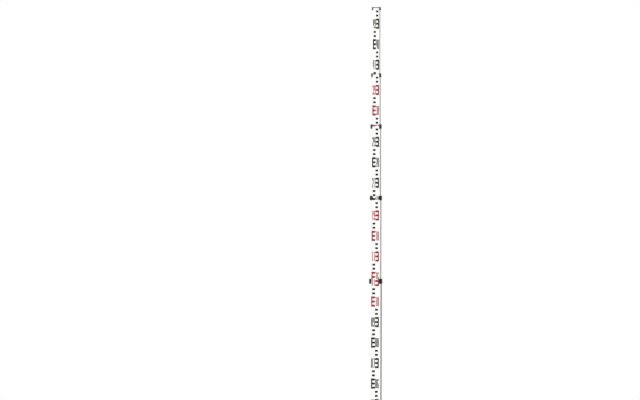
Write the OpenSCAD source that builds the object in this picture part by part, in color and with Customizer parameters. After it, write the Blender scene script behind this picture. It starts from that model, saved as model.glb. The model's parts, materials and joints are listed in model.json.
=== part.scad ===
// Telescopic levelling staff: five nested aluminium sections with spring buttons.
// Origin: centre of the sole, which is the zero of the scale. Scale face looks to -Y.
// Sections are numbered 0 (base) to 4 (top). Drawn out, the scale runs on from one to the
// next; each section above the base is modelled pushed in by the lengths below.

/* [Tubes] */
// Width of the base tube across the scale face
base_w = 56; // [52:1:66]
// Depth of the base tube, front lip to rear wall
base_d = 31; // [30:0.5:38]
// Wall of every tube
wall = 1.1; // [0.9:0.1:1.3]
// Outer corner radius of every tube
corner_r = 3; // [2.5:0.5:4]
// Play between one tube and the next at the sides
side_gap = 1.15; // [1:0.05:1.4]
// Play between one tube and the next at front and rear
face_gap = 0.4; // [0.3:0.05:0.5]

/* [Scale bed] */
// Depth of the bed that carries the scale, below the front lips
bed_depth = 0.6; // [0.3:0.1:0.8]
// Width of the scale bed on the base tube
bed_w_base = 39; // [34:0.5:42]
// Width of the scale bed on the top tube
bed_w_top = 32; // [26:0.5:32]

/* [Scale lengths] */
// Scale reading at the top of the base section
read_base = 1136; // [1100:1:1180]
// Scale that the second section adds when it is drawn out
adds_second = 885; // [840:1:930]
// Scale that the third section adds
adds_third = 989; // [940:1:1040]
// Scale that the fourth section adds
adds_fourth = 996; // [940:1:1040]
// Scale that the top section adds
adds_top = 1000; // [940:1:1040]

/* [Push from full extension] */
// How far the second section is pushed in
push_second = 480; // [0:1:780]
// How far the third section is pushed in
push_third = 641; // [0:1:880]
// How far the fourth section is pushed in
push_fourth = 747; // [0:1:900]
// How far the top section is pushed in
push_top = 677; // [0:1:900]

/* [Collars] */
// Height of the base collar
collar_h_base = 24; // [18:0.5:30]
// Height of the second collar
collar_h_second = 22; // [18:0.5:28]
// Height of the third collar
collar_h_third = 21; // [18:0.5:28]
// Height of the fourth collar
collar_h_fourth = 19; // [16:0.5:28]
// Height of the top cap
cap_h = 15; // [12:0.5:24]
// How far a collar stands out from its tube
collar_wall = 2.5; // [2:0.1:3.5]
// Thickness of the collar lip that covers the tube end
lip_t = 2; // [1.5:0.1:3]
// Chamfer round the top edge of a collar
collar_chamfer = 0.8; // [0.3:0.1:1.2]
// Play between a collar lip and the tube that slides in it
throat_gap = 0.25; // [0.15:0.05:0.3]
// Thickness of the top plate of the cap
cap_plate = 3; // [2:0.25:5]
// Depth of the cap spigot in the top tube
cap_spigot = 9; // [7:0.5:16]

/* [Lock holes, below the section tops] */
// Centre of the oval lock hole in the base tube
lock_below_base = 215; // [120:1:260]
// Centre of the lock hole in the second tube
lock_below_second = 82; // [60:0.5:120]
// Centre of the lock hole in the third tube
lock_below_third = 69.5; // [58:0.5:110]
// Centre of the lock hole in the fourth tube
lock_below_fourth = 62; // [54:0.5:100]
// Play round a button in its lock hole
lock_gap = 0.3; // [0.1:0.05:0.5]

/* [Buttons] */
// Radius of a round button, and of the smaller lock holes
button_r = 3; // [2.5:0.1:3.2]
// Radius of the ends of the large oval button
oval_r = 4.8; // [4:0.1:5.5]
// Height of the large oval button
oval_h = 19.6; // [14:0.2:21]
// Play round a button in its own tube
button_gap = 0.1; // [0.05:0.05:0.2]
// Play left between a button tip and the tube that holds it in
ride_gap = 0.05; // [0.03:0.01:0.1]
// How far a locked button stands proud of the outer tube
lock_proud = 2; // [1:0.1:2.5]
// Width of the flange that keeps a button in
flange_w = 0.8; // [0.6:0.1:1]
// Thickness of that flange
flange_t = 1.2; // [0.8:0.1:1.6]
// Play round the flange in its pocket
pocket_gap = 0.2; // [0.1:0.05:0.3]
// Chamfer round a button tip
tip_chamfer = 0.3; // [0.1:0.05:0.4]

/* [Springs] */
// Wire radius of a button spring
wire_r = 0.25; // [0.2:0.01:0.3]
// Turns of a button spring
spring_turns = 5; // [3:1:6]
// Play between the spring and its pocket wall
spring_play = 0.5; // [0.3:0.05:0.8]
// Play at each end of the spring
spring_end_gap = 0.05; // [0.02:0.01:0.1]
// Height of the button boss that the spring sits on
boss_h = 1; // [0.5:0.1:1.2]
// Play between the boss and the spring
boss_play = 0.3; // [0.2:0.05:0.6]

/* [Bushes] */
// Height of the bush in the second section
bush_h_second = 32; // [30:0.5:36]
// Height of the bushes in the third, fourth and top sections
bush_h = 18; // [15.5:0.25:18.5]
// Height of the gliding rim below the tube end
rim_h = 3; // [2:0.25:3.5]
// Play between the gliding rim and the outer tube
rim_gap = 0.15; // [0.1:0.05:0.25]
// Floor under the button pocket
bush_floor = 1.5; // [1:0.1:2]
// Play of a plastic part fitted in or on a tube
seat_gap = 0.05; // [0.02:0.01:0.1]

/* [Foot] */
// Thickness of the steel sole plate
plate_t = 2.5; // [2:0.25:4]
// Thickness of the shoe between plate and tube
shoe_t = 5; // [3:0.5:8]
// Height of the shoe spigot in the base tube
spigot_h = 28; // [20:0.5:30]
// Wall of the hollow spigot
spigot_wall = 2.5; // [2:0.25:4]
// Floor of the hollow spigot
spigot_floor = 6; // [4:0.5:10]
// Distance between the two sole screws
screw_span = 32; // [28:0.5:34]
// Shank radius of a sole screw
screw_r = 2; // [1.5:0.1:2.2]
// Head radius of a sole screw
screw_head_r = 3.8; // [3.4:0.1:4.2]
// Depth of the countersunk head
screw_head_t = 1.9; // [1.5:0.1:1.9]
// Length of a sole screw
screw_l = 16; // [12:0.5:20]
// Radius of the bosses round the sole screws
screw_boss_r = 4.6; // [4:0.1:5]

/* [Rivets and collar screws] */
// Shank radius of a rivet
rivet_r = 1.6; // [1.2:0.1:1.8]
// Head radius of a rivet
rivet_head_r = 2.8; // [2.4:0.1:3]
// Head thickness of a rivet
rivet_head_t = 0.5; // [0.3:0.05:0.6]
// Length of a rivet inside the tube wall
rivet_grip = 5; // [4:0.25:6]
// Height of the foot rivets above the tube end
foot_rivet_up = 14; // [8:0.5:16]
// Shank radius of a collar screw
collar_screw_r = 1.2; // [1:0.1:1.4]
// Head radius of a collar screw
collar_screw_head_r = 2.4; // [2.1:0.1:2.6]
// Depth of the countersunk head of a collar screw
collar_screw_head_t = 1.3; // [1:0.1:1.6]
// Play round every screw and rivet in its hole
hole_gap = 0.04; // [0.02:0.01:0.06]

/* [Hidden] */
$fn = 48;

// Names of the section numbers
BASE = 0;
SECOND = 1;
THIRD = 2;
FOURTH = 3;
TOP = 4;

// Overrun of a cut past the face it opens
cut = 1;
// Thickness of the slices that a chamfer is stretched between
slice = 0.01;

// Colours
alu_base = "#b3a49c";
alu_second = "#d2ccc6";
alu_third = "#dad6d2";
alu_fourth = "#e2dfdc";
alu_top = "#e8e6e3";
moulded_black = "#1b1b1d";
nylon = "#e9e6dc";
steel = "#a9adb2";
brass = "#c8a24a";

// Sizes of section i, from the nesting of the tubes
depth_step = 2 * wall + bed_depth + 2 * face_gap;
function tube_w(i) = base_w - 2 * i * (wall + side_gap);
function tube_d(i) = base_d - i * depth_step;
function rear_y(i) = base_d / 2 - i * (wall + face_gap);
function front_y(i) = rear_y(i) - tube_d(i);
function mid_y(i) = rear_y(i) - tube_d(i) / 2;
function cavity_w(i) = tube_w(i) - 2 * wall;
function cavity_d(i) = tube_d(i) - 2 * wall - bed_depth;
function cavity_y(i) = rear_y(i) - wall - cavity_d(i) / 2;
function bed_w(i) = bed_w_base + (bed_w_top - bed_w_base) * i / TOP;
cavity_r = corner_r - wall;

// Heights of section i, at rest
adds = [read_base, adds_second, adds_third, adds_fourth, adds_top];
pushes = [0, push_second, push_third, push_fourth, push_top];
locks = [lock_below_base, lock_below_second, lock_below_third, lock_below_fourth];
collar_hs = [collar_h_base, collar_h_second, collar_h_third, collar_h_fourth, cap_h];
function reads(i) = i < BASE ? 0 : adds[i] + reads(i - 1);
function pushed(i) = i < BASE ? 0 : pushes[i] + pushed(i - 1);
function top_z(i) = reads(i) - pushed(i);
function lock_z(i) = top_z(i) - locks[i];
function bush_height(i) = i == SECOND ? bush_h_second : bush_h;
function button_up(i) = (bush_height(i) + rim_h) / 2;
function button_z(i) = reads(i - 1) - locks[i - 1] - pushed(i);
function bush_z(i) = button_z(i) - button_up(i);
foot_z = plate_t + shoe_t;
function tube_z(i) = i == BASE ? foot_z : bush_z(i) + rim_h;
function tube_end(i) = top_z(i) - (i == TOP ? cap_plate : lip_t);

// Half-size and straight height of the button of section i
function head_r(i) = i == SECOND ? oval_r : button_r;
function head_straight(i) = i == SECOND ? oval_h - 2 * oval_r : 0;

// Distances along a button, from its tip inwards. The spring room is what the top
// section, the shallowest, leaves between the flange and the floor of its bush.
lock_travel = lock_proud + wall + ride_gap;
flange_depth = face_gap - ride_gap + wall + lock_travel;
spring_room = cavity_d(TOP) - bush_floor - lock_travel - flange_t;
pocket_depth = flange_depth + flange_t + spring_room;
function tip_y(i) = rear_y(i) + face_gap - ride_gap;

// Rectangle with round corners, centred
module rounded(w, d, r) {
  square([w - 2 * r, d], center = true);
  square([w, d - 2 * r], center = true);
  for (x = [-1, 1], y = [-1, 1])
    translate([x * (w / 2 - r), y * (d / 2 - r)]) circle(r);
}

// Oval of end radius r and straight height s along y; a circle where s is 0
module oval(r, s) {
  if (s > 0) {
    square([2 * r, s], center = true);
    for (y = [-1, 1])
      translate([0, y * s / 2]) circle(r);
  } else {
    circle(r);
  }
}

// Outer shape of tube i, grown by g all round
module tube_outline(i, g = 0) {
  translate([0, mid_y(i)]) rounded(tube_w(i) + 2 * g, tube_d(i) + 2 * g, corner_r + g);
}

// Hollow of tube i, shrunk by g all round
module tube_hollow(i, g = 0) {
  translate([0, cavity_y(i)]) rounded(cavity_w(i) - 2 * g, cavity_d(i) - 2 * g, cavity_r);
}

// Extrusion profile of tube i: round corners, recessed scale bed between two lips
module tube_profile(i) {
  difference() {
    tube_outline(i);
    translate([-bed_w(i) / 2, front_y(i) - cut]) square([bed_w(i), bed_depth + cut]);
    tube_hollow(i);
  }
}

// Puts children that point up their z axis at the rear wall of section i, pointing out
module at_rear(y, z) {
  translate([0, y, z]) rotate([-90, 0, 0]) children();
}

// Puts children at both sides of section i at reach x, each pointing out
module at_sides(i, x, z) {
  for (s = [0, 1])
    mirror([s, 0, 0]) translate([x, mid_y(i), z]) rotate([0, 90, 0]) children();
}

// Hole through the rear wall of tube i, for the button of section b
module rear_hole(i, b, gap, z) {
  at_rear(rear_y(i) - wall - cut, z)
    linear_extrude(wall + 2 * cut) oval(head_r(b) + gap, head_straight(b));
}

// Tube of section i with its rivet, screw, button and lock holes
module tube(i) {
  difference() {
    translate([0, 0, tube_z(i)]) linear_extrude(tube_end(i) - tube_z(i)) tube_profile(i);
    rivet_holes(i);
    collar_screw_holes(i);
    if (i > BASE) rear_hole(i, i, button_gap, button_z(i));
    if (i < TOP) rear_hole(i, i + 1, lock_gap, lock_z(i));
  }
}

function rivet_z(i) = i == BASE ? foot_z + foot_rivet_up : button_z(i);

// Rivets that hold the shoe or the bush in section i
module rivet(g = 0) {
  translate([0, 0, -wall - rivet_grip - g]) cylinder(r = rivet_r + g, h = wall + rivet_grip + g);
  cylinder(r = rivet_head_r, h = rivet_head_t);
}

module rivets(i) {
  at_sides(i, tube_w(i) / 2, rivet_z(i)) rivet();
}

module rivet_holes(i) {
  at_sides(i, tube_w(i) / 2 - wall - rivet_grip - hole_gap, rivet_z(i))
    cylinder(r = rivet_r + hole_gap, h = rivet_grip + wall + hole_gap + cut);
}

// Screws that hold the collar or cap of section i, countersunk in its sides. Those of a
// collar end flush inside the tube wall, and those of the cap go on into its spigot.
function screw_z(i) = i == TOP ? tube_end(i) - cap_spigot / 2 : top_z(i) - collar_hs[i] / 2;
function screw_depth(i) = collar_wall + wall + (i == TOP ? rivet_grip : 0);

module collar_screw(l, g = 0) {
  translate([0, 0, -l]) cylinder(r = collar_screw_r + g, h = l);
  translate([0, 0, -collar_screw_head_t])
    cylinder(r1 = collar_screw_r + g, r2 = collar_screw_head_r + g, h = collar_screw_head_t);
}

module collar_screws(i) {
  at_sides(i, tube_w(i) / 2 + collar_wall, screw_z(i)) collar_screw(screw_depth(i));
}

module collar_screw_holes(i) {
  at_sides(i, tube_w(i) / 2 + collar_wall, screw_z(i)) {
    collar_screw(screw_depth(i) + hole_gap, hole_gap);
    cylinder(r = collar_screw_head_r + hole_gap, h = cut);
  }
}

// Outside of a collar or cap: straight sides and a chamfered top edge
module collar_block(i) {
  h = collar_hs[i];
  translate([0, 0, top_z(i) - h]) linear_extrude(h - collar_chamfer) tube_outline(i, collar_wall);
  hull() {
    translate([0, 0, top_z(i) - collar_chamfer]) linear_extrude(slice)
      tube_outline(i, collar_wall, $fn = 32);
    translate([0, 0, top_z(i) - slice]) linear_extrude(slice)
      tube_outline(i, collar_wall - collar_chamfer, $fn = 32);
  }
}

// Opening in the front of collar i that leaves the scale in sight, up to height z
module scale_window(i, z) {
  low = top_z(i) - collar_hs[i] - cut;
  front = front_y(i) - collar_wall - cut;
  back = i == TOP ? front_y(i) : front_y(i + 1) + cut;
  translate([-bed_w(i) / 2, front, low]) cube([bed_w(i), back - front, z - low]);
}

// Collar on the upper end of tube i: grips the tube, and its lip guides the next tube
module collar(i) {
  low = top_z(i) - collar_hs[i];
  difference() {
    collar_block(i);
    translate([0, 0, low - cut]) linear_extrude(tube_end(i) - low + cut) tube_outline(i, seat_gap);
    translate([0, 0, low - cut]) linear_extrude(collar_hs[i] + 2 * cut)
      tube_outline(i + 1, throat_gap);
    scale_window(i, top_z(i) + cut);
    collar_screw_holes(i);
  }
}

// Cap on the top tube: closed plate, collar sides and a spigot inside the tube
module cap() {
  low = top_z(TOP) - cap_h;
  difference() {
    collar_block(TOP);
    translate([0, 0, low - cut]) linear_extrude(tube_end(TOP) - low + cut)
      tube_outline(TOP, seat_gap);
    scale_window(TOP, tube_end(TOP));
    collar_screw_holes(TOP);
  }
  difference() {
    translate([0, 0, tube_end(TOP) - cap_spigot]) linear_extrude(cap_spigot)
      tube_hollow(TOP, seat_gap);
    collar_screw_holes(TOP);
  }
}

// Bush in the lower end of section i: fills the tube, closes it with a gliding rim that
// runs inside the outer tube, and holds the button and its spring in a pocket
module bush(i) {
  difference() {
    union() {
      translate([0, 0, bush_z(i)]) linear_extrude(bush_height(i)) tube_hollow(i, seat_gap);
      translate([0, 0, bush_z(i)]) linear_extrude(rim_h) tube_hollow(i - 1, rim_gap);
    }
    at_rear(tip_y(i) - pocket_depth, button_z(i)) linear_extrude(pocket_depth + cut)
      oval(head_r(i) + flange_w + pocket_gap, head_straight(i));
    rivet_holes(i);
  }
}

// Push button of section i: chamfered tip, stem, flange that keeps it in, spring boss
module button(i) {
  r = head_r(i);
  s = head_straight(i);
  at_rear(tip_y(i), button_z(i)) {
    translate([0, 0, -flange_depth]) linear_extrude(flange_depth - tip_chamfer) oval(r, s);
    if (s > 0) {
      hull()
        for (y = [-1, 1])
          translate([0, y * s / 2, -tip_chamfer])
            cylinder(r1 = r, r2 = r - tip_chamfer, h = tip_chamfer, $fn = 32);
    } else {
      translate([0, 0, -tip_chamfer]) cylinder(r1 = r, r2 = r - tip_chamfer, h = tip_chamfer);
    }
    translate([0, 0, -flange_depth - flange_t]) linear_extrude(flange_t) oval(r + flange_w, s);
    translate([0, 0, -flange_depth - flange_t - boss_h]) cylinder(r = boss_r(i), h = boss_h);
  }
}

// Coil of the button spring of section i, as one tube swept along a helix. Its straight
// pieces cut the corners of the turn, so the boss inside it is measured from their middles.
rings_per_turn = 8;
wire_sides = 6;
function coil_r(i) = head_r(i) + flange_w - spring_play - wire_r;
function boss_r(i) = coil_r(i) * cos(180 / rings_per_turn) - wire_r - boss_play;

module spring(i) {
  r = coil_r(i);
  low = spring_end_gap + wire_r;
  climb = spring_room - 2 * low;
  rings = spring_turns * rings_per_turn;
  points = [
    for (k = [0:rings], j = [0:wire_sides - 1])
      let (a = 360 * k / rings_per_turn, b = 360 * j / wire_sides, q = r + wire_r * cos(b))
        [q * cos(a), q * sin(a), low + climb * k / rings + wire_r * sin(b)]
  ];
  // Corner j of ring k, counted round
  function at(k, j) = k * wire_sides + j % wire_sides;
  sides = [
    for (k = [0:rings - 1], j = [0:wire_sides - 1], half = [0, 1])
      half == 0
        ? [at(k, j), at(k, j + 1), at(k + 1, j + 1)]
        : [at(k, j), at(k + 1, j + 1), at(k + 1, j)]
  ];
  ends = [
    for (j = [1:wire_sides - 2], half = [0, 1])
      half == 0
        ? [at(0, 0), at(0, j + 1), at(0, j)]
        : [at(rings, 0), at(rings, j), at(rings, j + 1)]
  ];
  at_rear(tip_y(i) - pocket_depth, button_z(i)) polyhedron(points, concat(sides, ends));
}

// Shoe: slab under the tube and a hollow spigot inside it, with bosses for the screws
module shoe() {
  core = spigot_wall + seat_gap;
  difference() {
    union() {
      translate([0, 0, plate_t]) linear_extrude(shoe_t) tube_outline(BASE);
      difference() {
        translate([0, 0, foot_z]) linear_extrude(spigot_h) tube_hollow(BASE, seat_gap);
        translate([-cavity_w(BASE) / 2 + core, cavity_y(BASE) - cavity_d(BASE) / 2 + core,
                   foot_z + spigot_floor])
          cube([cavity_w(BASE) - 2 * core, cavity_d(BASE) - 2 * core, spigot_h]);
      }
      at_screws() translate([0, 0, foot_z]) cylinder(r = screw_boss_r, h = screw_l);
    }
    at_screws() cylinder(r = screw_r + hole_gap, h = screw_l + hole_gap);
    rivet_holes(BASE);
  }
}

module at_screws() {
  for (x = [-1, 1])
    translate([x * screw_span / 2, 0, 0]) children();
}

// Steel sole plate, countersunk from below
module plate() {
  difference() {
    linear_extrude(plate_t) tube_outline(BASE);
    at_screws() {
      cylinder(r1 = screw_head_r + hole_gap, r2 = screw_r + hole_gap, h = screw_head_t);
      cylinder(r = screw_r + hole_gap, h = plate_t + cut);
    }
  }
}

module sole_screws() {
  at_screws() {
    cylinder(r1 = screw_head_r, r2 = screw_r, h = screw_head_t);
    cylinder(r = screw_r, h = screw_l);
  }
}

module base_tube() { color(alu_base) tube(BASE); }
module foot_shoe() { color(moulded_black) shoe(); }
module foot_plate() { color(steel) plate(); }
module foot_screws() { color(steel) sole_screws(); }
module foot_rivets() { color(steel) rivets(BASE); }
module base_collar() { color(moulded_black) collar(BASE); }
module base_collar_screws() { color(steel) collar_screws(BASE); }

module second_tube() { color(alu_second) tube(SECOND); }
module second_collar() { color(moulded_black) collar(SECOND); }
module second_collar_screws() { color(steel) collar_screws(SECOND); }
module second_bush() { color(nylon) bush(SECOND); }
module second_bush_rivets() { color(steel) rivets(SECOND); }
module second_button() { color(brass) button(SECOND); }
module second_spring() { color(steel) spring(SECOND); }

module third_tube() { color(alu_third) tube(THIRD); }
module third_collar() { color(moulded_black) collar(THIRD); }
module third_collar_screws() { color(steel) collar_screws(THIRD); }
module third_bush() { color(nylon) bush(THIRD); }
module third_bush_rivets() { color(steel) rivets(THIRD); }
module third_button() { color(brass) button(THIRD); }
module third_spring() { color(steel) spring(THIRD); }

module fourth_tube() { color(alu_fourth) tube(FOURTH); }
module fourth_collar() { color(moulded_black) collar(FOURTH); }
module fourth_collar_screws() { color(steel) collar_screws(FOURTH); }
module fourth_bush() { color(nylon) bush(FOURTH); }
module fourth_bush_rivets() { color(steel) rivets(FOURTH); }
module fourth_button() { color(brass) button(FOURTH); }
module fourth_spring() { color(steel) spring(FOURTH); }

module top_tube() { color(alu_top) tube(TOP); }
module top_cap() { color(moulded_black) cap(); }
module top_cap_screws() { color(steel) collar_screws(TOP); }
module top_bush() { color(nylon) bush(TOP); }
module top_bush_rivets() { color(steel) rivets(TOP); }
module top_button() { color(brass) button(TOP); }
module top_spring() { color(steel) spring(TOP); }

base_tube();
foot_shoe();
foot_plate();
foot_screws();
foot_rivets();
base_collar();
base_collar_screws();
second_tube();
second_collar();
second_collar_screws();
second_bush();
second_bush_rivets();
second_button();
second_spring();
third_tube();
third_collar();
third_collar_screws();
third_bush();
third_bush_rivets();
third_button();
third_spring();
fourth_tube();
fourth_collar();
fourth_collar_screws();
fourth_bush();
fourth_bush_rivets();
fourth_button();
fourth_spring();
top_tube();
top_cap();
top_cap_screws();
top_bush();
top_bush_rivets();
top_button();
top_spring();
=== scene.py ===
import json
import math

import bmesh
import bpy
from mathutils.geometry import tessellate_polygon
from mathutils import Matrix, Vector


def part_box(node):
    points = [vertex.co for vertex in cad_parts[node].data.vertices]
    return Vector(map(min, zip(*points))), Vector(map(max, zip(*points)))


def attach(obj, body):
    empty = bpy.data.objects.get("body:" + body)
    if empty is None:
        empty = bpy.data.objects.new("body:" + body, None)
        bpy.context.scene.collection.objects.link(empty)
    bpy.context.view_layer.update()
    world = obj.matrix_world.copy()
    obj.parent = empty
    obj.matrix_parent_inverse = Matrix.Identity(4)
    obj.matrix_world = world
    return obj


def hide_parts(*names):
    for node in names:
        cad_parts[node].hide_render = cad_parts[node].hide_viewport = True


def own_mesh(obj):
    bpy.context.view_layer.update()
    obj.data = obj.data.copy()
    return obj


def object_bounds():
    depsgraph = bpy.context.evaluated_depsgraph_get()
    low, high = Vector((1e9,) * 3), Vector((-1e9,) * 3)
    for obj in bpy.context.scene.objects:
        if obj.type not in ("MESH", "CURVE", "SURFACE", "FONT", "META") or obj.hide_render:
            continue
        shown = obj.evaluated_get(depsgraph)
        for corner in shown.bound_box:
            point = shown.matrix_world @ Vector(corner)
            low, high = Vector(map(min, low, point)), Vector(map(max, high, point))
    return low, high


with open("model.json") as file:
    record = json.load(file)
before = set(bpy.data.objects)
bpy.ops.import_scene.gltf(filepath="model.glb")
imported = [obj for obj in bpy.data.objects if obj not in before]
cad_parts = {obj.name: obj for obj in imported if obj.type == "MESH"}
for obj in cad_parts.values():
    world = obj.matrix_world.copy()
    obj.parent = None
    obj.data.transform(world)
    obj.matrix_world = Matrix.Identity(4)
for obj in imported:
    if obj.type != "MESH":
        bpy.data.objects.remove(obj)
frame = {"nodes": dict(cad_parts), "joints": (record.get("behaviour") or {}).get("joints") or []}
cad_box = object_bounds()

# Tubes. Each is one aluminium extrusion with round corners, anodised and brushed along its
# length, the base in a darker bronze grey. The front, its lips and its recessed bed, is
# stove-enamelled white before the scale is printed on it.
names = ["base", "second", "third", "fourth", "top"]
tube_low = [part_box(f"{name}_tube")[0] for name in names]
tube_high = [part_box(f"{name}_tube")[1] for name in names]
bed_width = (0.039, 0.03725, 0.0355, 0.03375, 0.032)
enamel_reach = 0.0022
enamel_edge = 0.0002
enamel_step = 4.0
chip_reach = 0.0016
dirt_and_shade_reach = 0.0009
rub_share = 0.4
dirt_and_shade_share = 0.7
brush_depth = 0.000012
darker = 0.86
brighter = 1.06
enamel_white = (0.93, 0.93, 0.915, 1)
enamel_dust = (0.80, 0.79, 0.76, 1)
# The dark colour of the painted shade and dirt in the corners of the recessed bed
enamel_dirt_and_shade = (0.36, 0.34, 0.31, 1)
anodised = {
    "base": (0.49, 0.415, 0.375, 1),
    "second": (0.73, 0.70, 0.66, 1),
    "third": (0.70, 0.68, 0.655, 1),
    "fourth": (0.685, 0.67, 0.65, 1),
    "top": (0.66, 0.65, 0.635, 1),
}


class Wire:
    """An output in a material's nodes. Arithmetic on wires and numbers adds Math nodes."""

    def __init__(self, tree, socket):
        self.tree = tree
        self.socket = socket

    def make(self, kind, settings, sockets, output=0):
        """Any node: its settings come first, then the values or links of its sockets."""
        node = self.tree.nodes.new(kind)
        for name, value in settings.items():
            setattr(node, name, value)
        for key, value in sockets.items():
            if isinstance(value, Wire):
                self.tree.links.new(value.socket, node.inputs[key])
            else:
                node.inputs[key].default_value = value
        return Wire(self.tree, node.outputs[output]) if node.outputs else None

    def maths(self, operation, *values):
        return self.make("ShaderNodeMath", {"operation": operation}, dict(enumerate(values)))

    def __add__(self, other):
        return self.maths("ADD", self, other)

    def __sub__(self, other):
        return self.maths("SUBTRACT", self, other)

    def __rsub__(self, other):
        return self.maths("SUBTRACT", other, self)

    def __mul__(self, other):
        return self.maths("MULTIPLY", self, other)

    __radd__ = __add__
    __rmul__ = __mul__

    def __gt__(self, other):
        return self.maths("GREATER_THAN", self, other)

    def ramp(self, low, high):
        """0 at low and 1 at high, straight between and level beyond."""
        return self.make("ShaderNodeMapRange", {}, {0: self, 1: low, 2: high, 3: 0.0, 4: 1.0})

    def colours(self, first, second):
        """The first colour where this is 0, the second where it is 1."""
        return self.make("ShaderNodeMix", {"data_type": "RGBA"}, {0: self, 6: first, 7: second}, 2)

    def noise(self, stretch, scale, detail=3.0, roughness=0.55):
        """Noise at this place, with its grains stretched along each axis."""
        place = self.make(
            "ShaderNodeVectorMath", {"operation": "DIVIDE"}, {0: self, 1: stretch}
        )
        return place.make(
            "ShaderNodeTexNoise", {},
            {"Vector": place, "Scale": scale, "Detail": detail, "Roughness": roughness},
        )

    def bumps(self, depth, strength=1.0):
        """Normals of a surface that rises and falls with this by depth, in metres."""
        return self.make(
            "ShaderNodeBump", {}, {"Height": self, "Distance": depth, "Strength": strength}
        )


def finish(name, **constants):
    """A new material, the place on the piece as a wire, and its shader. The constants are
    the shader's own sockets, with spaces as underscores."""
    material = bpy.data.materials.new(name)
    material.use_nodes = True
    tree = material.node_tree
    shader = next(node for node in tree.nodes if node.type == "BSDF_PRINCIPLED")
    for key, value in constants.items():
        shader.inputs[key.replace("_", " ")].default_value = value
    place = Wire(tree, None).make("ShaderNodeTexCoord", {}, {}, 3)
    return material, place, shader


def feed(shader, **wires):
    """Links what changes over the surface to the shader's sockets."""
    for key, wire in wires.items():
        wire.tree.links.new(wire.socket, shader.inputs[key.replace("_", " ")])


def axis_of(place, axis):
    """One coordinate of a place: 0 for x, 1 for y, 2 for z."""
    return place.make("ShaderNodeSeparateXYZ", {}, {0: place}, axis)


def paint(node, material):
    """Gives a node of the frame its material."""
    slots = frame["nodes"][node].data.materials
    slots.clear()
    slots.append(material)


for name, low, high, bed in zip(names, tube_low, tube_high, bed_width):
    metal, place, shader = finish(f"{name}_aluminium", IOR=1.5)
    brushing = place.noise((1, 1, 60), 2600, 2.0)
    streaks = place.noise((1, 1, 25), 260, 4.0)
    clouds = place.noise((1, 1, 3), 14, 3.0)
    rubs = place.noise((1, 1, 400), 1500, 1.0).ramp(0.60, 0.68)
    handling = place.noise((1, 1, 1), 90, 6.0, 0.7).ramp(0.60, 0.72)
    front = axis_of(place, 1).ramp(low.y + enamel_reach + enamel_edge, low.y + enamel_reach)
    aside = axis_of(place, 0)
    aside = aside.maths("ABSOLUTE", aside)
    edge = aside.ramp(high.x - chip_reach, high.x)
    # Painted shade with some dirt: the enamel darkens in patches towards the foot of each lip, in the
    # corners of the recessed bed, and is rougher there
    corner = aside.ramp(bed / 2 - dirt_and_shade_reach, bed / 2) * (1 - (aside > bed / 2))
    dirt_and_shade = corner * place.noise((1, 1, 5), 300, 4.0, 0.65).ramp(0.30, 0.65)
    chips = (place.noise((1, 1, 5), 420, 4.0, 0.65) + 0.2 * edge).ramp(0.79, 0.81)
    coat = front * (1 - chips)
    dark = (*(darker * c for c in anodised[name][:3]), 1)
    bright = (*(min(1.0, brighter * c) for c in anodised[name][:3]), 1)
    bare = (streaks * 0.7 + clouds * 0.3 + rubs * 0.12).ramp(0.35, 0.65).colours(dark, bright)
    dusty = (clouds * handling).ramp(0.1, 0.8) * 0.5 + rubs * rub_share
    enamel = (dirt_and_shade * dirt_and_shade_share).colours(dusty.colours(enamel_white, enamel_dust), enamel_dirt_and_shade)
    metal_rough = 0.30 + 0.10 * streaks + 0.12 * handling - 0.08 * rubs
    feed(
        shader,
        Base_Color=coat.colours(bare, enamel),
        Metallic=1 - coat,
        Roughness=metal_rough * (1 - coat) + coat * (0.30 + 0.08 * clouds + 0.3 * dirt_and_shade),
        Normal=(brushing * (1 - coat) + coat * enamel_step).bumps(brush_depth),
    )
    paint(f"{name}_tube", metal)

# Printed scale. Screen-printed ink, a film on the enamelled bed: in each decimetre an E of
# five centimetres with two digits beside it, then two blocks of one. The E is on the left in
# even decimetres and on the right in odd ones, and red with its digits in every other metre.
centimetre = 0.01
full_reading = 5.0
bed_depth = 0.0006
film = 0.00005
sunk = 0.00002
ink_depth = 0.00001
e_rows = 5
blocks = (6, 8)
spine = 0.0058
e_share = 0.492
block_share = 0.37
digit_height = 0.0455
digit_lift = 0.0022
digit_share = 0.215
stroke_share = 0.088
gap_share = 0.027
number_share = 0.256
corner_share = 0.42
corner_steps = 6
corner_limit = 0.3
hook_share = 0.16
one_stem = 0.62
four_bar = 0.7
# Drawn out, the scale runs on from section to section, so a reading is a height plus what
# the section is pushed in by, which is the upper limit of its slide
bodies = ["base"] + [f"{name}_section" for name in names[1:]]
heads = [f"{name}_collar" for name in names[:-1]] + ["top_cap"]
slides = {joint["name"]: joint["range_m"] for joint in frame["joints"]}
pushed = [0.0]
for name in names[1:]:
    pushed.append(pushed[-1] + slides[f"{name}_slide"][1])
head_top = [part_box(head)[1].z for head in heads]
reading_top = [z + push for z, push in zip(head_top, pushed)]


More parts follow.
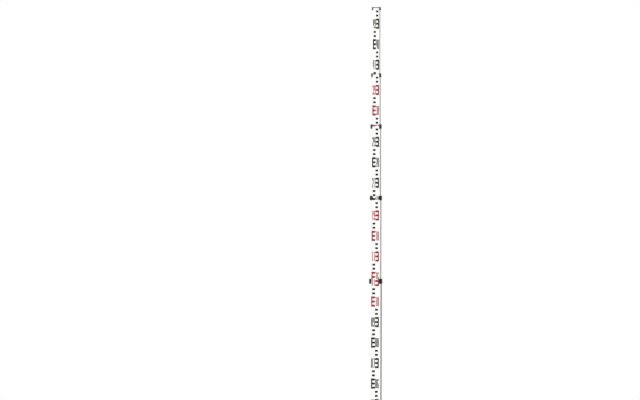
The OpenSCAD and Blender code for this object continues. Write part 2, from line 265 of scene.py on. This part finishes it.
class Print:
    """Flat marks on one face, gathered into one mesh. Marks are drawn in u and v, across and
    up the face, and place() puts them in the frame at a height over the face."""

    def __init__(self, place):
        self.place = place
        self.points = []
        self.faces = []

    def add(self, outline, strips, ring):
        """A film over an outline: strips are its faces, ring the outline's own order."""
        first = len(self.points)
        count = len(outline)
        for height in (film, -sunk):
            self.points += [self.place(u, v, height) for u, v in outline]
        for strip in strips:
            self.faces.append([first + k for k in strip])
            self.faces.append([first + count + k for k in reversed(strip)])
        for loop in ring:
            for a, b in zip(loop, loop[1:] + loop[:1]):
                self.faces.append([first + b, first + a, first + count + a, first + count + b])

    def plate(self, outline):
        """A filled outline, its corners in order."""
        ring = list(range(len(outline)))
        self.add(outline, [ring], [ring])

    def ribbon(self, path, width, closed=False):
        """A line of even width along a path."""
        left = []
        right = []
        count = len(path)
        for k, (u, v) in enumerate(path):
            before = path[k - 1] if k or closed else path[k]
            after = path[(k + 1) % count] if k < count - 1 or closed else path[k]
            ends = [
                (x2 - x1, y2 - y1)
                for (x1, y1), (x2, y2) in ((before, (u, v)), ((u, v), after))
                if (x1, y1) != (x2, y2)
            ]
            units = [(x / math.hypot(x, y), y / math.hypot(x, y)) for x, y in ends]
            across = (sum(-y for x, y in units), sum(x for x, y in units))
            length = math.hypot(*across)
            normal = (across[0] / length, across[1] / length)
            mitre = width / 2 / (normal[1] * units[0][0] - normal[0] * units[0][1])
            left.append((u + mitre * normal[0], v + mitre * normal[1]))
            right.append((u - mitre * normal[0], v - mitre * normal[1]))
        strips = [
            [k, (k + 1) % count, count + (k + 1) % count, count + k]
            for k in range(count if closed else count - 1)
        ]
        there = list(range(count))
        back = list(range(2 * count - 1, count - 1, -1))
        self.add(left + right, strips, [there, back] if closed else [there + back])


def riding(name, mesh, body, material):
    """A mesh as a piece that rides on a body."""
    mesh.materials.append(material)
    piece = bpy.data.objects.new(name, mesh)
    bpy.context.scene.collection.objects.link(piece)
    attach(piece, body)
    return piece


def piece_of(name, points, faces, body, material, slot):
    """A piece with a closed mesh, its faces turned outwards."""
    mesh = bpy.data.meshes.new(name)
    mesh.from_pydata(points, [], faces)
    mesh.validate()
    work = bmesh.new()
    work.from_mesh(mesh)
    bmesh.ops.recalc_face_normals(work, faces=work.faces)
    work.to_mesh(mesh)
    work.free()
    return riding(name, mesh, body, material)


def rounded(points, radius, closed=False):
    """A path with each of its square corners turned on an arc."""
    path = []
    count = len(points)
    for k, (u, v) in enumerate(points):
        if not closed and k in (0, count - 1):
            path.append((u, v))
            continue
        before = points[k - 1]
        after = points[(k + 1) % count]
        sides = []
        for x, y in (before, after):
            reach = math.hypot(x - u, y - v)
            sides.append(((x - u) / reach, (y - v) / reach))
        (ax, ay), (bx, by) = sides
        if abs(ax * bx + ay * by) > corner_limit:
            path.append((u, v))
            continue
        centre = (u + radius * (ax + bx), v + radius * (ay + by))
        for step in range(corner_steps + 1):
            turn = math.pi / 2 * step / corner_steps
            path.append((
                centre[0] - radius * (bx * math.cos(turn) + ax * math.sin(turn)),
                centre[1] - radius * (by * math.cos(turn) + ay * math.sin(turn)),
            ))
    return path


def digit_lines(digit, width, height, stroke):
    """The lines of a tall plain digit, each as (path, closed), in a box of that size."""
    left = stroke / 2
    right = width - stroke / 2
    low = stroke / 2
    high = height - stroke / 2
    middle = height / 2
    hook = height * hook_share
    inner_left = left + stroke / 2
    inner_right = right - stroke / 2
    ring = [(left, low), (right, low), (right, high), (left, high)]
    lines = {
        "0": [(ring, True)],
        "1": [([(0, high), (width * one_stem, high), (width * one_stem, 0)], False)],
        "2": [([(left, high - hook), (left, high), (right, high), (right, middle),
                (left, low + hook), (left, low), (width, low)], False)],
        "3": [([(left, high - hook), (left, high), (right, high), (right, low), (left, low),
                (left, low + hook)], False),
              ([(inner_left, middle), (inner_right, middle)], False)],
        "4": [([(left, height), (left, middle * four_bar), (inner_right, middle * four_bar)],
               False),
              ([(right, height), (right, 0)], False)],
        "5": [([(width, high), (left, high), (left, middle), (right, middle), (right, low),
                (left, low), (left, low + hook)], False)],
        "6": [([(right, high - hook), (right, high), (left, high), (left, low), (right, low),
                (right, middle), (inner_left, middle)], False)],
        "7": [([(0, high), (right, high), (right, middle), (width / 2, 0)], False)],
        "8": [(ring, True), ([(inner_left, middle), (inner_right, middle)], False)],
        "9": [([(left, low + hook), (left, low), (right, low), (right, high), (left, high),
                (left, middle), (inner_right, middle)], False)],
    }
    radius = corner_share * (width - stroke)
    return [(rounded(path, radius, closed), closed) for path, closed in lines[digit]]


def between(path, low, high):
    """The stretches of a path that lie between two heights, cut square at them."""
    parts = []
    part = []
    for (u1, v1), (u2, v2) in zip(path, path[1:]):
        cuts = sorted(t for t in ((h - v1) / (v2 - v1) for h in (low, high) if v1 != v2) if 0 < t < 1)
        stops = [0, *cuts, 1]
        for a, b in zip(stops, stops[1:]):
            start = (u1 + a * (u2 - u1), v1 + a * (v2 - v1))
            end = (u1 + b * (u2 - u1), v1 + b * (v2 - v1))
            if low <= (start[1] + end[1]) / 2 <= high:
                part = part or [start]
                part.append(end)
            elif part:
                parts.append(part)
                part = []
    return parts + [part] if part else parts


def number(sheet, text, u, v, size, stroke, gap, low, high):
    """Digits in a row from u, on a line at v, cut off outside the heights low to high."""
    width, height = size
    for k, digit in enumerate(text):
        across = u + k * (width + gap)
        for path, closed in digit_lines(digit, width, height, stroke):
            moved = [(across + x, v + y) for x, y in path]
            if v >= low and v + height <= high:
                sheet.ribbon(moved, stroke, closed)
            else:
                for part in between(moved + moved[:1] if closed else moved, low, high):
                    sheet.ribbon(part, stroke)


def e_outline(outer, inner, back, bottom, low, high):
    """An E between two heights: its spine stands at outer, back is the spine's other side,
    and its three arms reach to inner."""
    rows = []
    for row in range(e_rows):
        lower = max(bottom + row * centimetre, low)
        upper = min(bottom + (row + 1) * centimetre, high)
        if lower < upper:
            rows.append((lower, upper, back if row % 2 else inner))
    if not rows:
        return None
    outline = [(outer, rows[0][0]), (outer, rows[-1][1])]
    for lower, upper, reach in reversed(rows):
        outline += [(reach, upper), (reach, lower)]
    return outline


def ink(name, colour, worn):
    """Printing ink, a little thin in places."""
    material, place, shader = finish(name, Specular_IOR_Level=0.25)
    rubs = place.noise((1, 1, 250), 1500, 1.0).ramp(0.62, 0.70)
    thin = place.noise((1, 1, 1), 700, 4.0, 0.7).ramp(0.60, 0.75) * 0.45 + rubs * 0.35
    soft = place.noise((1, 1, 1), 60, 3.0)
    feed(
        shader,
        Base_Color=thin.colours(colour, worn),
        Roughness=0.38 + 0.14 * soft,
        Normal=thin.bumps(ink_depth),
    )
    return material


black_ink = ink("black_ink", (0.008, 0.008, 0.009, 1), (0.05, 0.05, 0.05, 1))
red_ink = ink("red_ink", (0.34, 0.008, 0.020, 1), (0.46, 0.10, 0.11, 1))

for i, name in enumerate(names):
    bed = tube_low[i].y + bed_depth
    low = (reading_top[i - 1] if i else 0.0) - centimetre / 2
    low = max(low, tube_low[i].z + pushed[i])
    high = min(tube_high[i].z + pushed[i], full_reading)
    place = lambda u, v, height, y=bed, push=pushed[i]: (u, y - height, v - push)
    sheets = {"black": Print(place), "red": Print(place)}
    for decimetre in range(int(low / centimetre / 10), int(high / centimetre / 10) + 1):
        bottom = decimetre * 10 * centimetre
        side = 1 if decimetre % 2 else -1
        odd_metre = decimetre // 10 % 2 == 1
        marks = sheets["red" if odd_metre else "black"]
        outer = side * e_share * bed_width[i]
        outline = e_outline(outer, 0.0, outer - side * spine, bottom, low, high)
        if outline:
            marks.plate(outline)
        for row in blocks:
            lower = max(bottom + row * centimetre, low)
            upper = min(bottom + (row + 1) * centimetre, high)
            reach = side * block_share * bed_width[i]
            if lower < upper:
                sheets["black"].plate([(0, lower), (reach, lower), (reach, upper), (0, upper)])
        digit = (digit_share * bed_width[i], digit_height)
        gap = gap_share * bed_width[i]
        across = -side * number_share * bed_width[i] - digit[0] - gap / 2
        base_line = bottom + digit_lift
        if base_line < high and base_line + digit_height > low:
            number(marks, f"{decimetre:02d}", across, base_line, digit,
                   stroke_share * bed_width[i], gap, low, high)
    for colour, material in (("black", black_ink), ("red", red_ink)):
        if sheets[colour].faces:
            piece_of(f"{name}_scale_{colour}", sheets[colour].points, sheets[colour].faces,
                     bodies[i], material, f"scale_{colour}")

# Rear rule. Each sliding section has a fine millimetre rule printed on its bare rear wall, with
# the decimetres numbered down the middle. Read at the rim below, with the sections under it
# pushed in and those over it drawn out, it gives the staff's height, so it grows downwards.
rule_inset = 0.0034
rule_margin = 0.004
tick_lengths = (0.0036, 0.0052, 0.0068)
tick_width = 0.00032
rule_digit = (0.0050, 0.0100)
rule_stroke = 0.0014
rule_gap = 0.0012
hole_clear = 0.0100
grey_ink = ink("grey_ink", (0.05, 0.05, 0.052, 1), (0.16, 0.16, 0.16, 1))

shut = 0.0
for i in range(1, len(names)):
    wall = tube_high[i].y
    edge = tube_high[i].x - rule_inset
    travel = slides[f"{names[i]}_slide"]
    # A mark's reading is this sum less the mark's height at rest
    total = head_top[i - 1] + shut + head_top[-1] + pushed[-1] - pushed[i]
    shut += travel[0]
    low = head_top[i - 1] - travel[1]
    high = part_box(heads[i])[0].z - rule_margin
    lock_holes = []
    if i < len(names) - 1:
        button_low, button_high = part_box(f"{names[i + 1]}_button")
        lock_holes.append((button_low.z + button_high.z) / 2 + slides[f"{names[i + 1]}_slide"][1])
    # Seen from the rear, u runs to the left of the reader of the front scale
    sheet = Print(lambda u, v, height: (-u, wall + height, v))
    for mm in range(math.ceil((total - high) * 1000), int((total - low) * 1000) + 1):
        length = tick_lengths[(mm % 5 == 0) + (mm % 10 == 0)]
        v = total - mm / 1000
        sheet.plate([
            (-edge, v - tick_width / 2), (-edge + length, v - tick_width / 2),
            (-edge + length, v + tick_width / 2), (-edge, v + tick_width / 2),
        ])
    for decimetre in range(math.ceil((total - high) * 10), int((total - low) * 10) + 1):
        v = total - decimetre / 10
        if all(abs(v - hole) > hole_clear for hole in lock_holes):
            number(sheet, f"{decimetre:02d}", -rule_digit[0] - rule_gap / 2, v - rule_digit[1] / 2,
                   rule_digit, rule_stroke, rule_gap, low, high)
    piece_of(f"{names[i]}_rear_rule", sheet.points, sheet.faces, bodies[i], grey_ink, "scale_black")

# Collars and cap. Moulded in black glass-filled nylon with a fine spark-eroded grain. A
# collar grips the end of its tube, its lip guides the next tube, and its front stays open
# over the scale. The cap closes the top tube. Both are screwed on from the sides.
moulded_shades = ((0.007, 0.007, 0.008, 1), (0.030, 0.030, 0.032, 1))
grain_depth = 0.00006
grain_strength = 0.5
moulded_edge = 0.0003
edge_steps = 3
hole_span = 0.009
weld_reach = 0.00002
flat_angle = math.radians(0.5)
crease_angle = math.radians(35)
square_angle = math.radians(60)
moulded, place, shader = finish("black_nylon", Specular_IOR_Level=0.3)
grain = place.noise((1, 1, 1), 1500, 2.0)
rubbed = place.noise((1, 1, 1), 45, 5.0, 0.65).ramp(0.56, 0.72)
feed(
    shader,
    Base_Color=(rubbed * 0.6).colours(*moulded_shades),
    Roughness=0.52 - 0.12 * rubbed,
    Normal=grain.bumps(grain_depth, grain_strength),
)


def outer_edges(work):
    """The square outward edges of a mesh, without the rims of screw and rivet holes."""
    square = {
        edge for edge in work.edges if edge.is_convex and edge.calc_face_angle() > square_angle
    }
    kept = set()
    while square:
        rim = {square.pop()}
        grown = rim
        while grown:
            grown = {
                near for edge in grown for vertex in edge.verts for near in vertex.link_edges
            } & square
            square -= grown
            rim = rim | grown
        points = [vertex.co for edge in rim for vertex in edge.verts]
        spans = [max(p[k] for p in points) - min(p[k] for p in points) for k in range(3)]
        if max(spans) > hole_span:
            kept |= rim
    return [edge for edge in work.edges if edge in kept]


def eased(node, name, reach, body, material):
    """Stands for a node: its own shape, with its square outward edges rounded by reach."""
    work = bmesh.new()
    work.from_mesh(frame["nodes"][node].data)
    bmesh.ops.remove_doubles(work, verts=work.verts, dist=weld_reach)
    bmesh.ops.dissolve_limit(work, angle_limit=flat_angle, verts=work.verts, edges=work.edges)
    bmesh.ops.recalc_face_normals(work, faces=work.faces)
    bmesh.ops.bevel(
        work, geom=outer_edges(work), affect="EDGES", offset_type="OFFSET", offset=reach,
        segments=edge_steps, profile=0.5, clamp_overlap=False, loop_slide=True,
    )
    mesh = bpy.data.meshes.new(name)
    work.to_mesh(mesh)
    work.free()
    mesh.shade_smooth()
    mesh.set_sharp_from_angle(angle=crease_angle)
    piece = riding(name, mesh, body, material)
    flats = piece.modifiers.new("flats", "WEIGHTED_NORMAL")
    flats.keep_sharp = True
    bpy.context.view_layer.update()
    shaded = piece.evaluated_get(bpy.context.evaluated_depsgraph_get())
    piece.data = bpy.data.meshes.new_from_object(shaded)
    piece.modifiers.clear()
    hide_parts(node)


for i, head in enumerate(heads):
    eased(head, f"{head}_moulding", moulded_edge, bodies[i], moulded)

# Bushes, buttons and springs. A white nylon bush, riveted into the lower end of each inner
# tube, glides in the tube outside. It holds a brass push button, rubbed lengthways by that
# tube, on a coil spring of drawn steel wire.
spring_wire = 0.00025
spring_turns = 5
closed_pitch = 0.0006
turn_rings = 20
wire_sides = 8
nylon_shades = ((0.78, 0.77, 0.72, 1), (0.86, 0.85, 0.81, 1))
brass_shades = ((0.60, 0.42, 0.17, 1), (0.82, 0.64, 0.31, 1))
wire_shades = ((0.42, 0.43, 0.45, 1), (0.60, 0.61, 0.63, 1))
nylon, place, shader = finish("white_nylon")
shade = place.noise((1, 1, 1), 120, 3.0)
feed(
    shader,
    Base_Color=shade.colours(*nylon_shades),
    Roughness=0.42 + 0.1 * shade,
)
brass, place, shader = finish("rubbed_brass", Metallic=1.0)
rubbing = place.noise((1, 1, 40), 2400, 2.0)
tarnish = place.noise((1, 1, 1), 260, 4.0)
feed(
    shader,
    Base_Color=(0.6 * rubbing + 0.4 * tarnish).ramp(0.35, 0.65).colours(*brass_shades),
    Roughness=0.20 + 0.12 * rubbing + 0.12 * tarnish,
)
wire_steel, place, shader = finish("spring_wire", Metallic=1.0)
drawn = place.noise((1, 1, 1), 1800, 2.0)
feed(
    shader,
    Base_Color=drawn.colours(*wire_shades),
    Roughness=0.28 + 0.1 * drawn,
)


def coil(low, high):
    """A spring along y that fills a box, with a closed turn at each end: points and faces."""
    middle = (low + high) / 2
    radius = (high.x - low.x) / 2 - spring_wire
    length = high.y - low.y - 2 * spring_wire
    open_pitch = (length - 2 * closed_pitch) / (spring_turns - 2)
    rings = spring_turns * turn_rings
    points = []
    faces = []
    for k in range(rings + 1):
        turns = k / turn_rings
        ends = min(turns, 1) + max(turns - spring_turns + 1, 0)
        rise = ends * closed_pitch + (turns - ends) * open_pitch
        for j in range(wire_sides):
            round_wire = 2 * math.pi * j / wire_sides
            reach = radius + spring_wire * math.cos(round_wire)
            points.append((
                middle.x + reach * math.cos(2 * math.pi * turns),
                low.y + spring_wire + rise + spring_wire * math.sin(round_wire),
                middle.z + reach * math.sin(2 * math.pi * turns),
            ))
            if k:
                here = k * wire_sides
                after = (j + 1) % wire_sides
                faces.append([here - wire_sides + j, here - wire_sides + after, here + after, here + j])
    last = rings * wire_sides
    faces += [list(range(wire_sides)), list(range(last, last + wire_sides))]
    return points, faces


for name in names[1:]:
    paint(f"{name}_bush", nylon)
    paint(f"{name}_button", brass)
    low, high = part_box(f"{name}_spring")
    spring = piece_of(f"{name}_coil", *coil(low, high), f"{name}_section", wire_steel, "spring_steel")
    spring.data.shade_smooth()
    pressed = -slides[f"{name}_button_press"][0]
    1 - pressed / (high.y - low.y)
    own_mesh(spring)
    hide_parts(f"{name}_spring")

# Fasteners. Zinc-plated countersunk screws with cross recesses in the collars, the cap and
# the sole, and blind rivets through the sides of the tubes into the shoe and the bushes.
turn_steps = 32
round_angle = math.radians(35)
screw_edge = 0.00012
tip_share = 0.8
tip_length = 0.2
collar_shank = 0.0012
collar_head_depth = 0.0013
sole_shank = 0.0020
sole_head_depth = 0.0019
recess_arm = 0.11
recess_reach = 0.56
recess_taper = 0.55
recess_depth = 0.40
rivet_shank = 0.0016
rivet_hole = 0.0010
rivet_sink = 0.0003
zinc_shades = ((0.50, 0.51, 0.53, 1), (0.68, 0.69, 0.71, 1))
# The dome's section, each point in shares of the head's radius and height
dome = ((1.0, 0.35), (0.93, 0.72), (0.76, 0.94), (0.55, 1.0))
zinc, place, shader = finish("zinc_plate", Metallic=1.0)
spangle = place.noise((1, 1, 1), 420, 3.0)
feed(
    shader,
    Base_Color=spangle.colours(*zinc_shades),
    Roughness=0.28 + 0.16 * spangle,
)


def circle(radius):
    """The corners of a circle, each as (u, v)."""
    turns = [2 * math.pi * k / turn_steps for k in range(turn_steps)]
    return [(radius * math.cos(turn), radius * math.sin(turn)) for turn in turns]


class Turned:
    """Fasteners gathered into one mesh. place() puts a point in the frame: two coordinates
    across the axis, and the height over the face that the fastener sits in."""

    def __init__(self):
        self.points = []
        self.faces = []

    def ring(self, place, outline, height):
        """Adds an outline at a height and returns its points' numbers."""
        first = len(self.points)
        self.points += [place(u, v, height) for u, v in outline]
        return list(range(first, len(self.points)))

    def wall(self, lower, upper):
        """Faces between two rings of as many points."""
        count = len(lower)
        for k in range(count):
            after = (k + 1) % count
            self.faces.append([lower[k], lower[after], upper[after], upper[k]])

    def skin(self, place, profile):
        """Walls round the axis through a profile of (radius, height). Returns the end rings."""
        rings = [self.ring(place, circle(radius), height) for radius, height in profile]
        for lower, upper in zip(rings, rings[1:]):
            self.wall(lower, upper)
        return rings[0], rings[-1]

    def screw(self, place, head, head_depth, shank, length):
        """A countersunk screw, flush with the face, with a cross recess."""
        tip, rim = self.skin(place, [
            (shank * tip_share, -length), (shank, -length + shank * tip_length),
            (shank, -head_depth), (head, -screw_edge), (head - screw_edge, 0),
        ])
        arm = recess_arm * head
        reach = recess_reach * head
        quarter = [(reach, -arm), (reach, arm), (arm, arm)]
        cross = []
        for turn in range(4):
            cross += quarter
            quarter = [(-v, u) for u, v in quarter]
        mouth = self.ring(place, cross, 0)
        narrowed = [(u * recess_taper, v * recess_taper) for u, v in cross]
        floor = self.ring(place, narrowed, -recess_depth * head)
        self.wall(mouth, floor)
        flat = rim + mouth
        corners = [[(u, v, 0) for u, v in loop] for loop in (circle(head - screw_edge), cross)]
        self.faces += [[flat[k] for k in face] for face in tessellate_polygon(corners)]
        self.faces += [tip, floor]

    def rivet(self, place, head, height, length):
        """A blind rivet: a low dome with the hole that its mandrel leaves."""
        tip, hole = self.skin(place, [
            (rivet_shank, -length), (rivet_shank, 0), (head, 0),
            *((head * wide, height * tall) for wide, tall in dome),
            (rivet_hole, height), (rivet_hole, height - rivet_sink),
        ])
        self.faces += [tip, hole]

    def stand_for(self, node, body):
        """Makes the piece, shades its round walls smooth and lets it replace the node."""
        piece = piece_of(f"{node}_turned", self.points, self.faces, body, zinc, "fastener_steel")
        piece.data.shade_smooth()
        piece.data.set_sharp_from_angle(angle=round_angle)
        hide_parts(node)


for i, body in enumerate(bodies):
    rivets = f"{names[i]}_bush_rivets" if i else "foot_rivets"
    for node in (rivets, f"{heads[i]}_screws"):
        low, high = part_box(node)
        middle = (low + high) / 2
        radius = (high.z - low.z) / 2
        inner = min(abs(vertex.co.x) for vertex in frame["nodes"][node].data.vertices)
        face = tube_high[i].x if node == rivets else high.x
        pair = Turned()
        for side in (-1, 1):
            place = lambda u, v, height: (side * (face + height), middle.y + u, middle.z + v)
            if node == rivets:
                pair.rivet(place, radius, high.x - face, face - inner)
            else:
                pair.screw(place, radius, collar_head_depth, collar_shank, face - inner)
        pair.stand_for(node, body)

low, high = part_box("foot_screws")
radius = (high.y - low.y) / 2
pair = Turned()
for x in (low.x + radius, high.x - radius):
    pair.screw(lambda u, v, height: (x + u, (low.y + high.y) / 2 + v, -height),
               radius, sole_head_depth, sole_shank, high.z - low.z)
pair.stand_for("foot_screws", "base")

# Foot. A moulded shoe, riveted in, closes the base tube. A ground steel sole, screwed to the
# shoe and scuffed by the bench marks that it has stood on, takes the wear.
plate_edge = 0.0004
scuff_depth = 0.00002
sole_shades = ((0.46, 0.46, 0.47, 1), (0.30, 0.28, 0.26, 1))
eased("foot_shoe", "foot_shoe_moulding", moulded_edge, "base", moulded)
sole, place, shader = finish("ground_steel", Metallic=1.0)
ground = place.noise((30, 1, 1), 1400, 2.0)
scuffs = place.noise((1, 1, 1), 160, 6.0, 0.7).ramp(0.5, 0.7)
feed(
    shader,
    Base_Color=(0.5 * scuffs + 0.5 * ground).colours(*sole_shades),
    Roughness=0.30 + 0.25 * scuffs,
    Normal=(ground + scuffs).bumps(scuff_depth),
)
eased("foot_plate", "foot_sole", plate_edge, "base", sole)

# Studio. A pale round floor, a white surround that gives less light from the right, so that
# side of the staff is shaded as in the photograph, and a broad soft light from the left.
floor_radius = 2.6
floor_fade = 1.2
floor_sides = 96
floor_drop = 0.0002
floor_shades = ((0.86, 0.86, 0.86, 1), (0.90, 0.90, 0.895, 1))
left_light = 0.80
right_light = 0.16
shade_from = -0.2
shade_to = 0.8
rim = [
    (floor_radius * math.cos(2 * math.pi * k / floor_sides),
     floor_radius * math.sin(2 * math.pi * k / floor_sides), -floor_drop)
    for k in range(floor_sides)
]
floor_mesh = bpy.data.meshes.new("studio_floor")
floor_mesh.from_pydata(rim, [], [list(range(floor_sides))])
floor_finish, place, shader = finish("pale_floor", Roughness=0.7)
paper = place.noise((1, 1, 1), 6, 4.0)
reach = place.make("ShaderNodeVectorMath", {"operation": "LENGTH"}, {0: place}, 1)
feed(
    shader,
    Base_Color=paper.colours(*floor_shades),
    Alpha=reach.ramp(floor_radius, floor_fade),
)
floor_mesh.materials.append(floor_finish)
floor = bpy.data.objects.new("studio_floor", floor_mesh)
bpy.context.scene.collection.objects.link(floor)

surround = bpy.data.worlds.new("white_surround")
bpy.context.scene.world = surround
surround.use_nodes = True
sky = surround.node_tree
background = next(node for node in sky.nodes if node.type == "BACKGROUND")
seen = Wire(sky, None).make("ShaderNodeLightPath", {}, {}, 0)
direction = seen.make("ShaderNodeTexCoord", {}, {}, 0)
to_right = axis_of(direction, 0).ramp(shade_from, shade_to)
daylight = left_light - (left_light - right_light) * to_right
strength = seen + (1 - seen) * daylight
sky.links.new(strength.socket, background.inputs["Strength"])
background.inputs["Color"].default_value = (1, 1, 1, 1)


def panel(name, place, aim, size, power):
    """A square soft light at a place, aimed at a point."""
    light = bpy.data.lights.new(name, "AREA")
    light.size = size
    light.energy = power
    lamp = bpy.data.objects.new(name, light)
    bpy.context.scene.collection.objects.link(lamp)
    lamp.location = place
    away = lamp.location - type(lamp.location)(aim)
    lamp.rotation_mode = "QUATERNION"
    lamp.rotation_quaternion = away.to_track_quat("Z", "Y")
    return lamp


mid = (0, 0, cad_box[1].z / 2)
panel("key_light", place=(-3.2, -3.6, 2.6), aim=mid, size=2.4, power=158)
panel("rear_light", place=(-1.8, 4.2, 2.6), aim=mid, size=2.4, power=130)
panel("rear_fill", place=(4.6, 2.2, 2.2), aim=mid, size=2.0, power=35)

# Camera. Level, far off with a long lens, turned a little to the staff's right side. A pixel
# is 4.88 mm of the staff, and the sole stands at a row below the picture's lower edge.
frame_pixels = (640, 400)
pixel = 0.00488
sole_row = 511.4
staff_column = 375.9
distance = 20.0
azimuth = math.radians(12)
lean = math.radians(-0.12)
lens_data = bpy.data.cameras.new("camera")
camera = bpy.data.objects.new("camera", lens_data)
bpy.context.scene.collection.objects.link(camera)
focal_pixels = distance / pixel
lens_data.sensor_width = 36.0
lens_data.lens = focal_pixels * lens_data.sensor_width / frame_pixels[0]
lens_data.clip_end = 100.0
aside = math.atan((staff_column - frame_pixels[0] / 2) / focal_pixels)
camera.location = (
    distance * math.sin(azimuth),
    -distance * math.cos(azimuth),
    (sole_row - frame_pixels[1] / 2) * pixel,
)
camera.rotation_euler = (math.pi / 2, lean, azimuth + aside)
bpy.context.scene.camera = camera
bpy.context.scene.view_settings.view_transform = "Standard"
